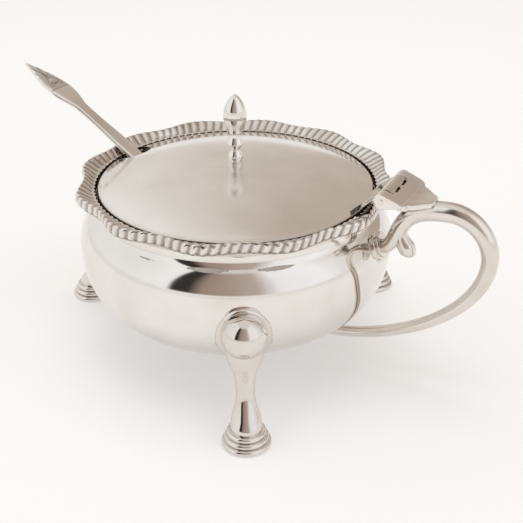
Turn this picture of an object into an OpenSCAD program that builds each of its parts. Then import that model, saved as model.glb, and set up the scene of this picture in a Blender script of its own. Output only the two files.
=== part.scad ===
// Mustard pot on three cabriole legs, with a hinged lid, scroll handle, glass liner and spoon.
// Z points up from the table, the pot's axis is the Z axis, and the handle points along X.

/* [Bowl] */
// Outer radius of the bowl at its widest
belly_r = 35.7; // [33:0.1:40]
// Height of the widest level above the table
belly_z = 28; // [26:0.5:32]
// Height of the bowl's underside above the table
bottom_z = 6.1; // [5:0.1:8]
// Squareness of the lower curve, where 2 is an ellipse
fullness = 2.58; // [2.3:0.02:3]
// Rounding radius of the shoulder
shoulder_r = 9.1; // [8:0.1:10]
// Radius of the hollow moulding of the neck
neck_r = 2.6; // [2.2:0.1:3]
// Distance of the middle of that hollow outside the border's inner edge
neck_out = 2.62; // [2.5:0.01:2.8]
// Thickness of the bowl's metal
bowl_wall = 1; // [0.7:0.1:1.3]

/* [Border] */
// Width of the border from its inner edge to the tips of its lobes
border_w = 4.7; // [4:0.1:5.6]
// Height of the border above the lip
border_h = 2.6; // [2.2:0.1:3.2]
// Number of lobes of the wavy outline
lobes = 12; // [6:1:16]
// Depth of the hollows between the lobes
lobe_depth = 1.9; // [0:0.1:2.2]
// Number of gadroons
gadroons = 108; // [72:1:120]
// Depth of the furrows between the gadroons
furrow = 0.4; // [0.2:0.05:0.6]
// Slant of each gadroon from the inner edge to the outer edge, in degrees round the pot
slant = 2.5; // [0:0.5:10]

/* [Lid] */
// Radius of the lid
lid_r = 31; // [29.5:0.1:32]
// Gap between the lid's edge and the border
lid_gap = 0.5; // [0.4:0.1:1]
// Height of the lid's upper edge above the lip
lid_rise = 0.8; // [0.7:0.1:1.2]
// Height of the dome above the lid's edge
dome_h = 5; // [4:0.1:7]
// Thickness of the lid's metal
lid_t = 0.9; // [0.7:0.1:1.1]
// Direction of the spoon notch, in degrees from the handle
notch_angle = 174; // [165:1:195]
// Radius of the spoon notch
notch_r = 4.5; // [4.2:0.1:5.5]
// Depth of the notch from the lid's edge
notch_depth = 4.9; // [4.6:0.1:6]
// Inward width of the ring that the lid rests on
seat_w = 1.2; // [0.8:0.1:1.5]
// Thickness of the ring that the lid rests on
seat_t = 0.8; // [0.6:0.1:1]

/* [Finial] */
// Height of the finial above the lid
finial_h = 15.4; // [12:0.1:18]
// Greatest radius of the bud
bud_r = 2.6; // [2:0.05:3.4]
// Radius of the foot of the finial
finial_foot_r = 1.7; // [1.6:0.05:2.6]
// Radius of the stud through the lid
stud_r = 1.1; // [0.8:0.05:1.3]
// Radius of the nut on the stud
nut_r = 2.4; // [2.1:0.1:3]
// Thickness of the nut
nut_t = 1.6; // [1.2:0.1:2]

/* [Hinge] */
// Height of the knuckles' underside above the border
hinge_lift = 1.7; // [1.4:0.1:2.4]
// Distance of the hinge axis outside the border's lobes
hinge_out = 0.8; // [0.3:0.1:1.6]
// Radius of the knuckles
knuckle_r = 1.7; // [1.4:0.05:2]
// Radius of the hinge pin
pin_r = 0.6; // [0.4:0.05:0.8]
// Length of the middle knuckle, on the lid's leaf
mid_knuckle = 8.8; // [7:0.1:10]
// Length of each outer knuckle, on the fixed plate
end_knuckle = 2.6; // [2:0.1:3.5]
// Thickness of the leaf and of the fixed plate
leaf_t = 0.8; // [0.6:0.05:1]
// Distance that the leaf reaches in over the lid's edge
leaf_bite = 1.5; // [1.2:0.1:2.5]
// Slope of the fixed plate, in degrees
plate_slope = 22; // [16:1:26]
// Length of the sloping part of the plate, measured out from the hinge axis
plate_l = 4.7; // [4:0.1:5.5]
// Length of the thumb rest beyond the sloping part
rest_l = 5.1; // [4.5:0.1:6]

/* [Handle] */
// Distance of the handle's outermost point from the pot's axis, at the middle of the metal
handle_reach = 58.95; // [56:0.05:64]
// Height of that outermost point
handle_side_z = 33.6; // [31:0.1:36]
// Distance of the crown of the handle from the pot's axis
crown_x = 48.4; // [47.6:0.1:50]
// Radius at which the lower end meets the bowl
foot_r = 17.5; // [15:0.5:20]
// Diameter at the root under the border
root_d = 2.8; // [2.4:0.1:4]
// Depth of the root's end behind the collar's face
root_in = 1.6; // [1.4:0.1:2]
// Radius of the collar where the root meets the bowl
collar_r = 3.4; // [3:0.1:4]
// Thickness of the collar
collar_t = 1.3; // [1:0.1:1.6]
// Diameter at the crown
crown_d = 4.4; // [4:0.1:5]
// Diameter at the outermost point
side_d = 3.6; // [3:0.1:4.2]
// Diameter at the lower end
tail_d = 2.4; // [2:0.1:3]
// Diameter of the spur inside the crown
spur_d = 3.2; // [2.8:0.1:3.5]

/* [Legs] */
// Radius of the circle through the middles of the feet
stance_r = 42.6; // [41:0.2:45]
// Radius of the pad of each foot
pad_r = 5.2; // [4.6:0.1:6]
// Height of the stepped pad
pad_h = 3.6; // [3:0.1:4.2]
// Radius of the ball of the knee
knee_r = 4.7; // [4.2:0.1:5]
// Height of the middle of the knee
knee_z = 22.5; // [21.5:0.1:24]
// Half width of the oval flange behind the knee
flange_r = 5.9; // [5.4:0.1:6.4]
// Half height of the oval flange
flange_h = 7.2; // [6.4:0.1:7.6]
// Diameter of the leg at its thinnest
shank_d = 4.1; // [3.6:0.1:5]

/* [Liner] */
// Thickness of the glass
glass_t = 2; // [1.5:0.1:2.6]
// Gap between the liner and the lid's seat ring
liner_gap = 0.5; // [0.4:0.1:1]
// Distance of the liner's edge below the seat ring
liner_drop = 0.6; // [0.4:0.1:2]

/* [Spoon] */
// Slope of the spoon, in degrees
spoon_tilt = 29.6; // [28:0.1:30.5]
// Length of the spoon outside the place where it rests on the border
spoon_out = 35.5; // [34:0.1:37]
// Width of the stem
stem_w = 3.5; // [2.8:0.1:3.8]
// Thickness of the stem
stem_t = 1.2; // [1:0.1:1.4]
// Width of the pointed end
tip_w = 6.7; // [5:0.1:7.4]
// Length of the pointed end
tip_l = 18.5; // [16:0.5:20]
// Drop of the pointed end below the line of the stem
tip_bend = 1.65; // [0:0.05:2.5]
// Length of the spoon's bowl
scoop_l = 17; // [14:0.5:19]
// Width of the spoon's bowl
scoop_w = 11.5; // [9:0.5:13]
// Depth of the spoon's bowl
scoop_depth = 3; // [2:0.1:3.4]
// Distance of the spoon's end above the liner's floor
spoon_drop_gap = 2.2; // [1:0.1:4]

/* [Hidden] */
$fn = 96;

silver = [0.86, 0.84, 0.81];
cobalt = [0.07, 0.13, 0.45, 0.6];

// Clearances
rest_gap = 0.3;
spoon_gap = 0.25;
pin_gap = 0.05;
tight_gap = 0.01;
side_gap = 0.2;
turn_gap = 0.3;
seam_gap = 0.05;

// Levels and radii that several pieces share
neck_end = 80;
border_in_r = lid_r + lid_gap;
shoulder_c = [belly_r - shoulder_r, belly_z];
// Angle at which the shoulder turns into the neck, so that the neck fits the lid's opening
shoulder_angle = acos((border_in_r + neck_out - shoulder_c.x) / (shoulder_r + neck_r));
neck_c = shoulder_c + (shoulder_r + neck_r) * [cos(shoulder_angle), sin(shoulder_angle)];
lip_z = neck_c.y + neck_r * sin(neck_end);
border_out_r = border_in_r + border_w;
border_top = lip_z + border_h;
lid_edge_z = lip_z + lid_rise;
dome_r = (lid_r * lid_r + dome_h * dome_h) / (2 * dome_h);
dome_c = lid_edge_z + dome_h - dome_r;
lid_top = lid_edge_z + dome_h;
lid_under = dome_c + sqrt(pow(dome_r - lid_t, 2) - lid_r * lid_r);
seat_top = lid_under - rest_gap;
seat_out_r = neck_inside(seat_top - seat_t) - seam_gap;
seat_in_r = seat_out_r - seat_w;
liner_r = seat_in_r - liner_gap;
liner_top = seat_top - seat_t - liner_drop;
liner_floor = bottom_z + bowl_wall + seam_gap;
// Height at which the liner's side turns in, lower where the bowl leaves it more room
knee_drop = 1.1;
liner_knee = belly_z - knee_drop * (belly_r - bowl_wall - liner_r);
hinge = [border_out_r + hinge_out, border_top + hinge_lift + knuckle_r];
hinge_w = mid_knuckle + 2 * (end_knuckle + side_gap);

// Radius of the inside of the neck at a height
function neck_inside(z) = neck_c.x - sqrt(pow(neck_r + bowl_wall, 2) - pow(z - neck_c.y, 2));

// Height of the bowl's underside at a radius
function bowl_under(r) = belly_z - (belly_z - bottom_z) * pow(1 - pow(r / belly_r, fullness), 1 / fullness);

// Half of a squared ellipse, from the bottom middle to the widest point
function squared_ellipse(r, z_wide, z_low, steps) = [
    for (i = [0:steps]) let (a = 90 * i / steps)
        [r * pow(sin(a), 2 / fullness), z_wide - (z_wide - z_low) * pow(cos(a), 2 / fullness)]];

function arc(c, r, a0, a1, steps) = [
    for (i = [0:steps]) let (a = a0 + (a1 - a0) * i / steps) c + r * [cos(a), sin(a)]];

// Profile of the bowl, drawn in by a distance from its outer face
function bowl_side(inset) = concat(
    squared_ellipse(belly_r - inset, belly_z, bottom_z + inset, 26),
    arc(shoulder_c, shoulder_r - inset, 6, shoulder_angle, 8),
    arc(neck_c, neck_r + inset, 180 + shoulder_angle - 10,
        180 - asin((lip_z - neck_c.y) / (neck_r + inset)), 8));

// Points along a cubic curve, and the curve's direction
function cubic(p, t) = pow(1 - t, 3) * p[0] + 3 * t * pow(1 - t, 2) * p[1]
    + 3 * t * t * (1 - t) * p[2] + t * t * t * p[3];
function cubic_dir(p, t) = let (d = pow(1 - t, 2) * (p[1] - p[0]) + 2 * t * (1 - t) * (p[2] - p[1])
    + t * t * (p[3] - p[2])) d / norm(d);

// Round ring across a curve that lies in the XZ plane
function ring(c, dir, d, sides) = [
    for (k = [0:sides - 1]) let (a = 360 * k / sides)
        [c.x - dir.y * d / 2 * cos(a), d / 2 * sin(a), c.y + dir.x * d / 2 * cos(a)]];

// Closed skin over a row of rings that all have the same number of points
module skin(rings) {
    m = len(rings[0]);
    n = len(rings);
    points = [for (r = rings) each r];
    sides = [for (i = [0:n - 2], j = [0:m - 1]) let (a = i * m + j, b = i * m + (j + 1) % m)
        each [[a, b, a + m], [b, b + m, a + m]]];
    first_cap = [[for (j = [m - 1:-1:0]) j]];
    last_cap = [[for (j = [0:m - 1]) (n - 1) * m + j]];
    polyhedron(points, concat(sides, first_cap, last_cap));
}

// Solid that fills the bowl's outer face, for fitting what is soldered to it
module bowl_form() {
    rotate_extrude() polygon(concat(bowl_side(0), [[0, lip_z]]));
}

module bowl() {
    color(silver) rotate_extrude()
        difference() {
            polygon(concat(bowl_side(0), [[0, lip_z]]));
            polygon(concat(bowl_side(bowl_wall), [[0, lip_z]]));
        }
}

// Border: each gadroon has a furrow and two crests, and leans round the pot from inside to outside
crest_steps = 3;
crest_power = 0.3;
border_angles = [180, 145, 110, 75, 40, 5, -30];

function lobe_r(a) = border_out_r - lobe_depth * (1 + cos(lobes * a)) / 2;

// Section of the border, with its crest near the outer edge, as a radius and a height above the lip
function border_side(w, s, cut) = [
    (w - cut * abs(cos(s))) * pow((1 + cos(s)) / 2, crest_power),
    s == -30 ? 0 : border_h / 3 + (border_h * 2 / 3 - cut) * sin(s)];

function border_point(a, s, cut) = let (
    lean = slant * (s - 75) / 210,
    p = border_side(lobe_r(a + lean) - border_in_r, s, s == 180 || s == -30 ? 0 : cut),
    r = border_in_r + p.x)
    [r * cos(a + lean), r * sin(a + lean), lip_z + p.y];

function border_section(i) = let (
    a = 360 * i / (gadroons * crest_steps),
    cut = i % crest_steps == 0 ? furrow : 0,
    foot = slant * 105 / 210)
    concat([[border_in_r * cos(a + foot), border_in_r * sin(a + foot), lip_z]],
        [for (s = border_angles) border_point(a, s, cut)]);

module gadroon_border() {
    n = gadroons * crest_steps;
    m = len(border_angles) + 1;
    points = [for (i = [0:n - 1]) each border_section(i)];
    faces = [for (i = [0:n - 1], j = [0:m - 1])
        let (a = i * m + j, b = i * m + (j + 1) % m,
            c = (i + 1) % n * m + j, d = (i + 1) % n * m + (j + 1) % m)
        each [[a, c, b], [b, c, d]]];
    color(silver) polyhedron(points, faces);
}

module lid_seat_ring() {
    color(silver) rotate_extrude()
        translate([seat_in_r, seat_top - seat_t]) square([seat_w, seat_t]);
}

module glass_liner() {
    inside_r = liner_r - glass_t;
    color(cobalt) rotate_extrude() difference() {
        polygon(concat(squared_ellipse(liner_r, liner_knee, liner_floor, 20),
            [[liner_r, liner_top], [0, liner_top]]));
        polygon(concat(squared_ellipse(inside_r, liner_knee, liner_floor + glass_t, 20),
            [[inside_r, liner_top], [0, liner_top]]));
    }
}

module lid_ball(inset) {
    translate([0, 0, dome_c]) sphere(r = dome_r - inset, $fn = 192);
}

module lid() {
    color(silver) difference() {
        intersection() {
            difference() {
                lid_ball(0);
                lid_ball(lid_t);
            }
            translate([0, 0, lip_z - lid_t]) cylinder(r = lid_r, h = lid_rise + dome_h + 2 * lid_t);
        }
        rotate(notch_angle) translate([lid_r - notch_depth + notch_r, 0, lip_z - 2 * lid_t])
            cylinder(r = notch_r, h = border_h + dome_h);
        translate([0, 0, lid_top - 3 * lid_t]) cylinder(r = stud_r + pin_gap, h = 4 * lid_t);
    }
}

// Leaf: its upper face runs from the lid's dome to the top of the middle knuckle
leaf_start = [lid_r - leaf_bite, dome_c + sqrt(dome_r * dome_r - pow(lid_r - leaf_bite, 2))];
leaf_run = hinge - leaf_start;
leaf_angle = atan2(leaf_run.y, leaf_run.x) + asin(knuckle_r / norm(leaf_run));
leaf_dir = [cos(leaf_angle), sin(leaf_angle)];
leaf_up = [-leaf_dir.y, leaf_dir.x];

// Extrudes an XZ outline along Y, centred on the handle's plane
module across(w) {
    rotate([90, 0, 0]) linear_extrude(w, center = true) children();
}

module at_hinge() {
    translate([hinge.x, 0, hinge.y]) rotate([90, 0, 0]) children();
}

module lid_hinge_leaf() {
    top_end = hinge + knuckle_r * leaf_up;
    top_start = leaf_start - 2 * leaf_t * leaf_dir;
    color(silver) difference() {
        union() {
            across(mid_knuckle)
                polygon([top_start, top_end, top_end - leaf_t * leaf_up, top_start - leaf_t * leaf_up]);
            at_hinge() cylinder(r = knuckle_r, h = mid_knuckle, center = true);
        }
        lid_ball(0);
        at_hinge() cylinder(r = pin_r + pin_gap, h = 2 * mid_knuckle, center = true);
    }
}

// Fixed plate: sloping wedge behind the outer knuckles, then a fan that lies on the handle's crown
plate_up = [sin(plate_slope), cos(plate_slope)];
plate_top = hinge + knuckle_r * plate_up;
plate_end = [hinge.x + plate_l, plate_top.y - (hinge.x + plate_l - plate_top.x) * tan(plate_slope)];
rest_z = plate_end.y - leaf_t;
rest_tip_r = 1.6;

function fan_side() = concat(
    [[plate_end.x - leaf_t, hinge_w / 2], [plate_end.x, hinge_w / 2],
        [plate_end.x + rest_l / 8, hinge_w / 3]],
    arc([plate_end.x + rest_l - rest_tip_r, 0], rest_tip_r, 60, 0, 4));

module hinge_plate() {
    side = fan_side();
    fan = concat(side, [for (i = [len(side) - 2:-1:0]) [side[i].x, -side[i].y]]);
    wedge = [hinge, plate_top, plate_end, plate_end - [0, leaf_t], hinge - [0, knuckle_r]];
    color(silver) difference() {
        union() {
            across(hinge_w) polygon(wedge);
            at_hinge() cylinder(r = knuckle_r, h = hinge_w, center = true);
            translate([0, 0, rest_z]) linear_extrude(leaf_t) polygon(fan);
        }
        at_hinge() cylinder(r = knuckle_r + turn_gap, h = mid_knuckle + 2 * side_gap, center = true);
        at_hinge() cylinder(r = pin_r + tight_gap, h = 2 * hinge_w, center = true);
    }
}

module hinge_pin() {
    color(silver) at_hinge() cylinder(r = pin_r, h = hinge_w + 2 * side_gap, center = true);
}

// Handle: an S from the shoulder to the crown, a round side and a long tail under the bowl
crown = [crown_x, rest_z - 0.43 * crown_d];
reach = [handle_reach, handle_side_z];
collar_angle = shoulder_angle / 2;
collar_at = shoulder_c + shoulder_r * [cos(collar_angle), sin(collar_angle)];
root = collar_at - [root_in, root_in / 6];
tail = [foot_r, bowl_under(foot_r) - 0.05 * tail_d];
rise = crown.y - reach.y;
handle_curves = [
    [root, [border_out_r + 4, root.y + 3.1], [border_out_r + 0.5, crown.y - 2.6], crown],
    [crown, crown + [0.55 * (reach.x - crown.x), 0.1 * rise], reach + [0, 0.58 * rise], reach],
    [reach, reach - [0, 0.52 * (reach.y - tail.y)], tail + [0.5 * (reach.x - tail.x), -0.8], tail]];
handle_widths = [[0, root_d], [0.3, root_d], [0.6, 1.3 * root_d], [1, crown_d], [2, side_d],
    [2.6, 1.12 * tail_d], [3, tail_d]];
curve_steps = 14;
spur_start = cubic(handle_curves[0], 0.59);
spur_curve = [spur_start, spur_start - [0.3, 2.3], spur_start - [0.3, 6.3], spur_start + [2.9, -6.5]];
spur_widths = [[0, 0.7], [0.2, 0.7], [0.4, 0.86], [0.6, 1], [0.8, 1], [0.92, 0.9], [1, 0.5]];

module handle_tube() {
    skin([for (c = [0:2], i = [c == 0 ? 0 : 1:curve_steps]) let (t = i / curve_steps)
        ring(cubic(handle_curves[c], t), cubic_dir(handle_curves[c], t), lookup(c + t, handle_widths), 16)]);
}

// Spur: hangs inside the crown and swells to a blunt lobe
module handle_spur() {
    skin([for (w = spur_widths)
        ring(cubic(spur_curve, w[0]), cubic_dir(spur_curve, w[0]), spur_d * w[1], 16)]);
}

// Collar: a stepped disc against the shoulder, whose back is cut to the bowl
module handle_collar() {
    translate([collar_at.x, 0, collar_at.y]) rotate([0, 90 - collar_angle, 0]) rotate_extrude($fn = 48)
        polygon([[0, -collar_t], [collar_r, -collar_t], [collar_r, 0.3 * collar_t],
            [0.94 * collar_r, 0.5 * collar_t], [0.8 * collar_r, 0.55 * collar_t],
            [0.84 * collar_r, 0.75 * collar_t], [0.78 * collar_r, collar_t], [0, collar_t]]);
}

module handle() {
    color(silver) difference() {
        union() {
            handle_tube();
            handle_spur();
            handle_collar();
        }
        bowl_form();
        translate([crown.x - 2 * crown_d, -crown_d, rest_z])
            cube([plate_end.x + rest_l + side_gap - crown.x + 2 * crown_d, 2 * crown_d, crown_d]);
    }
}

// Legs: each shank section gives a share of the height from pad to knee, a share of the way from
// knee to foot, and the depth and width as shares of the thinnest diameter
knee_x = belly_r + 1.5;
shank_shares = [[0.778, 0.037, 1.2, 1.9], [0.688, 0.1, 1.1, 1.65], [0.598, 0.204, 1.07, 1.23],
    [0.497, 0.315, 1.07, 1.05], [0.392, 0.417, 0.99, 1], [0.312, 0.5, 0.99, 1], [0.233, 0.611, 1.07, 1.14],
    [0.153, 0.741, 1.21, 1.34], [0.074, 0.889, 1.4, 1.51], [-0.01, 1, 1.67, 1.67]];
shank_sections = concat(
    [for (f = [1, 0.884]) [pad_h + f * (knee_z - pad_h), knee_x, 1.2 * knee_r, 1.7 * knee_r]],
    [for (q = shank_shares) [pad_h + q[0] * (knee_z - pad_h), knee_x + q[1] * (stance_r - knee_x),
        q[2] * shank_d, q[3] * shank_d]]);
pad_steps = 3;
flange_tilt = 10;

// Oval flange, whose front face is at the origin and looks out along X
module flange() {
    rotate([90, 0, -90]) linear_extrude(8)
        polygon([for (k = [0:39]) [flange_r * cos(9 * k), flange_h * sin(9 * k)]]);
}

module leg(angle) {
    color(silver) difference() {
        rotate(angle) {
            skin([for (s = shank_sections) [for (k = [0:15]) let (a = 22.5 * k)
                [s[1] + s[2] / 2 * cos(a), s[3] / 2 * sin(a), s[0]]]]);
            translate([knee_x, 0, knee_z]) sphere(r = knee_r);
            translate([belly_r + 0.6, 0, knee_z - 1.9]) rotate([0, flange_tilt, 0]) flange();
            translate([stance_r, 0, 0]) rotate_extrude() pad_profile();
        }
        bowl_form();
    }
}

// Half outline of a pad: round-edged steps that get smaller upwards
module pad_profile() {
    step = pad_h / pad_steps;
    polygon(concat([[0, 0]],
        [for (i = [0:pad_steps - 1]) each
            arc([pad_r - step / 2 - 0.55 * i, step * (i + 0.5)], step / 2, -90, 90, 6)],
        [[0, pad_h]]));
}

module leg_front() {
    leg(-60);
}

module leg_back() {
    leg(60);
}

module leg_left() {
    leg(180);
}

// Outline of the finial from its foot to the bud's widest level: radius as a share of the foot's
// or the bud's radius, and height as a share of the finial's height
foot_shares = [[0.84, 0], [0.95, 0.03], [1, 0.06], [0.94, 0.095], [0.73, 0.14], [0.64, 0.19]];
bud_shares = [[0.6, 0.235], [0.75, 0.265], [0.69, 0.3], [0.55, 0.36], [0.5, 0.44], [0.53, 0.52],
    [0.61, 0.56], [0.73, 0.59], [0.89, 0.63], [0.98, 0.67]];
wide_share = 0.705;
bud_steps = 10;

module finial() {
    bud_top = [for (i = [0:bud_steps]) let (u = i / bud_steps)
        [bud_r * (1 - u * u), finial_h * (wide_share + (1 - wide_share) * u)]];
    color(silver) translate([0, 0, lid_top]) rotate_extrude() {
        polygon(concat([[0, 0]],
            [for (q = foot_shares) [q[0] * finial_foot_r, q[1] * finial_h]],
            [for (q = bud_shares) [q[0] * bud_r, q[1] * finial_h]],
            bud_top));
        translate([0, -lid_t - nut_t - stud_r]) square([stud_r, lid_t + nut_t + stud_r]);
    }
}

module finial_nut() {
    color(silver) translate([0, 0, lid_top - lid_t - seam_gap - nut_t]) difference() {
        cylinder(r = nut_r, h = nut_t);
        translate([0, 0, -nut_t]) cylinder(r = stud_r + pin_gap, h = 3 * nut_t);
    }
}

// Spoon: lies on the border and leans out through the notch, with its bowl down in the liner
rest_w = lobe_r(notch_angle + slant / 2) - border_in_r;
rest_high = max([for (s = [0:5:180]) border_side(rest_w, s, 0) * [-sin(spoon_tilt), cos(spoon_tilt)]]);
rest_lift = rest_high + spoon_gap + stem_t / 2;
spoon_rest_r = border_in_r - rest_lift * sin(spoon_tilt);
spoon_rest_z = lip_z + rest_lift * cos(spoon_tilt);
tip_sections = [[0, 0.1, 0.5], [0.1, 0.25, 0.65], [0.215, 0.475, 0.8], [0.35, 0.73, 0.95], [0.5, 0.94, 1.05],
    [0.64, 1, 1.15], [0.75, 0.95, 1.15], [0.865, 0.79, 1.1]];
scoop_neck = 4;
scoop_lap = 2;
scoop_rings = 5;
scoop_sides = 28;
sheet_t = 0.7 * stem_t;

// Height of the liner's inner face at a distance from the axis
function liner_inside(x) = liner_knee - (liner_knee - liner_floor - glass_t)
    * pow(1 - pow(abs(x) / (liner_r - glass_t), fullness), 1 / fullness);

// Length of the spoon from the border down to the end of its bowl
spoon_in = max([for (d = [0:0.05:2.2 * liner_r])
    if (spoon_rest_z - d * sin(spoon_tilt) - spoon_drop_gap - sheet_t / 2
        > liner_inside(min(spoon_rest_r - d * cos(spoon_tilt), 0))) d]);
spoon_l = spoon_out + spoon_in;

function stem_ring(s, w, t) = [
    for (k = [0:11]) let (a = 30 * k + 15, cx = cos(a), cy = sin(a))
        [s, -w / 2 * sign(cx) * pow(abs(cx), 0.6), t / 2 * sign(cy) * pow(abs(cy), 0.6)]];

function scoop_point(f, a, lift) = [
    spoon_l - scoop_l / 2 + scoop_l / 2 * f * cos(a),
    scoop_w / 2 * f * sin(a) * (1 + 0.12 * cos(a)),
    lift - scoop_depth * (1 - f * f)];

module scoop() {
    inner = [for (i = [1:scoop_rings]) [for (k = [0:scoop_sides - 1])
        scoop_point(i / scoop_rings, 360 * k / scoop_sides, sheet_t / 2)]];
    outer = [for (i = [scoop_rings:-1:1]) [for (k = [0:scoop_sides - 1])
        scoop_point(i / scoop_rings, 360 * k / scoop_sides, -sheet_t / 2)]];
    skin(concat(inner, outer));
}

module spoon() {
    color(silver) rotate(notch_angle) translate([spoon_rest_r, 0, spoon_rest_z])
        rotate([0, spoon_tilt, 180]) translate([-spoon_out, 0, 0]) {
            skin(concat(
                [for (s = tip_sections) [for (q = stem_ring(s[0] * tip_l, s[1] * tip_w, s[2] * stem_t))
                    q - [0, 0, tip_bend * pow(1 - s[0], 1.5)]]],
                [stem_ring(tip_l, stem_w, stem_t), stem_ring(spoon_l - scoop_l - scoop_neck, stem_w, stem_t),
                    stem_ring(spoon_l - scoop_l + scoop_lap, 1.15 * stem_w, stem_t)]));
            scoop();
        }
}

bowl();
gadroon_border();
lid_seat_ring();
glass_liner();
lid();
lid_hinge_leaf();
finial();
finial_nut();
hinge_plate();
hinge_pin();
handle();
leg_front();
leg_back();
leg_left();
spoon();
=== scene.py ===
from math import acos, asin, atan2, cos, degrees, exp, hypot, pi, radians, sin, sqrt

import bmesh
import bpy
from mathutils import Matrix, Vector


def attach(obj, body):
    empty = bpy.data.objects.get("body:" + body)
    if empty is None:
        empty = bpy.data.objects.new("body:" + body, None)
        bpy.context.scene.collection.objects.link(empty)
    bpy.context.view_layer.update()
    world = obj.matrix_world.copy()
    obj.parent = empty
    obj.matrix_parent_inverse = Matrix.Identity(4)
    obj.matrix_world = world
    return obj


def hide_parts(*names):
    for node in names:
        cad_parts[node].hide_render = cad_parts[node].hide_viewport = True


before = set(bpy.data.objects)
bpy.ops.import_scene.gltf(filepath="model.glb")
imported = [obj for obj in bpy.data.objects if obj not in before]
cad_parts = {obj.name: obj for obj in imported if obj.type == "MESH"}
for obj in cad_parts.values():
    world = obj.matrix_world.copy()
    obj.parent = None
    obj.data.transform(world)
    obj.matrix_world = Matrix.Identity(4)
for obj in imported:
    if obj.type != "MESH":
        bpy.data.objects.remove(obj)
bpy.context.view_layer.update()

scene = bpy.context.scene
MM = 0.001
TINY = 1e-6

# Sizes are in millimetres, and angles in degrees unless they pass through radians(). These are
# shared by several pieces and are those of the CAD model.
# FULL is the exponent of the bowl's lower curve, NECK_END the angle at which its neck ends.
BELLY_R, BELLY_Z, BOTTOM_Z, FULL = 35.7, 28.0, 6.1, 2.58
SHOULDER_R, NECK_R, NECK_OUT, NECK_END, WALL = 9.1, 2.6, 2.62, 80, 1.0
LID_R, LID_GAP, LID_T, LID_UP, DOME_H = 31.0, 0.5, 0.9, 0.8, 5.0
BORDER_W, BORDER_H, LOBES, LOBE_D = 4.7, 2.6, 12, 1.9
GADROONS, SLANT, CREST = 108, 2.5, 0.3
KNUCKLE, PIN_R, MID_K, END_K, KNUCKLE_GAP, LEAF_T = 1.7, 0.6, 8.8, 2.6, 0.2, 0.8
HINGE_OUT, HINGE_UP = 0.8, 1.7
NOTCH_A = 174.0

# Sizes that follow from them
BORDER_IN = LID_R + LID_GAP
BORDER_OUT = BORDER_IN + BORDER_W
SHOULDER_C = (BELLY_R - SHOULDER_R, BELLY_Z)
SHOULDER_A = degrees(acos((BORDER_IN + NECK_OUT - SHOULDER_C[0]) / (SHOULDER_R + NECK_R)))
NECK_C = (SHOULDER_C[0] + (SHOULDER_R + NECK_R) * cos(radians(SHOULDER_A)),
          SHOULDER_C[1] + (SHOULDER_R + NECK_R) * sin(radians(SHOULDER_A)))
LIP_Z = NECK_C[1] + NECK_R * sin(radians(NECK_END))
BORDER_TOP = LIP_Z + BORDER_H
LID_EDGE = LIP_Z + LID_UP
LID_TOP = LID_EDGE + DOME_H
DOME_R = (LID_R ** 2 + DOME_H ** 2) / (2 * DOME_H)
DOME_C = LID_EDGE + DOME_H - DOME_R
HINGE = (BORDER_OUT + HINGE_OUT, BORDER_TOP + HINGE_UP + KNUCKLE)
HINGE_W = MID_K + 2 * (END_K + KNUCKLE_GAP)


# Mesh helpers

def make(name, verts, faces, body, material, nodes, sharp, tarnish_shade_mask=None):
    """Adds a piece that stands in for CAD nodes.

    Edges over the angle sharp are shaded hard, and the last argument is each vertex's share of
    painted shade, which in the border's furrows is tarnish as well.
    """
    me = bpy.data.meshes.new(name)
    me.from_pydata([(x * MM, y * MM, z * MM) for x, y, z in verts], [], faces)
    me.validate()
    bm = bmesh.new()
    bm.from_mesh(me)
    bmesh.ops.recalc_face_normals(bm, faces=bm.faces)
    bm.to_mesh(me)
    bm.free()
    me.shade_smooth()
    me.set_sharp_from_angle(angle=radians(sharp))
    if tarnish_shade_mask is not None:
        layer = me.attributes.new("tarnish_shade_mask", "FLOAT", "POINT")
        layer.data.foreach_set("value", tarnish_shade_mask)
    me.materials.append(material)
    ob = bpy.data.objects.new(name, me)
    scene.collection.objects.link(ob)
    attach(ob, body)
    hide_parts(*nodes)


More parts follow.
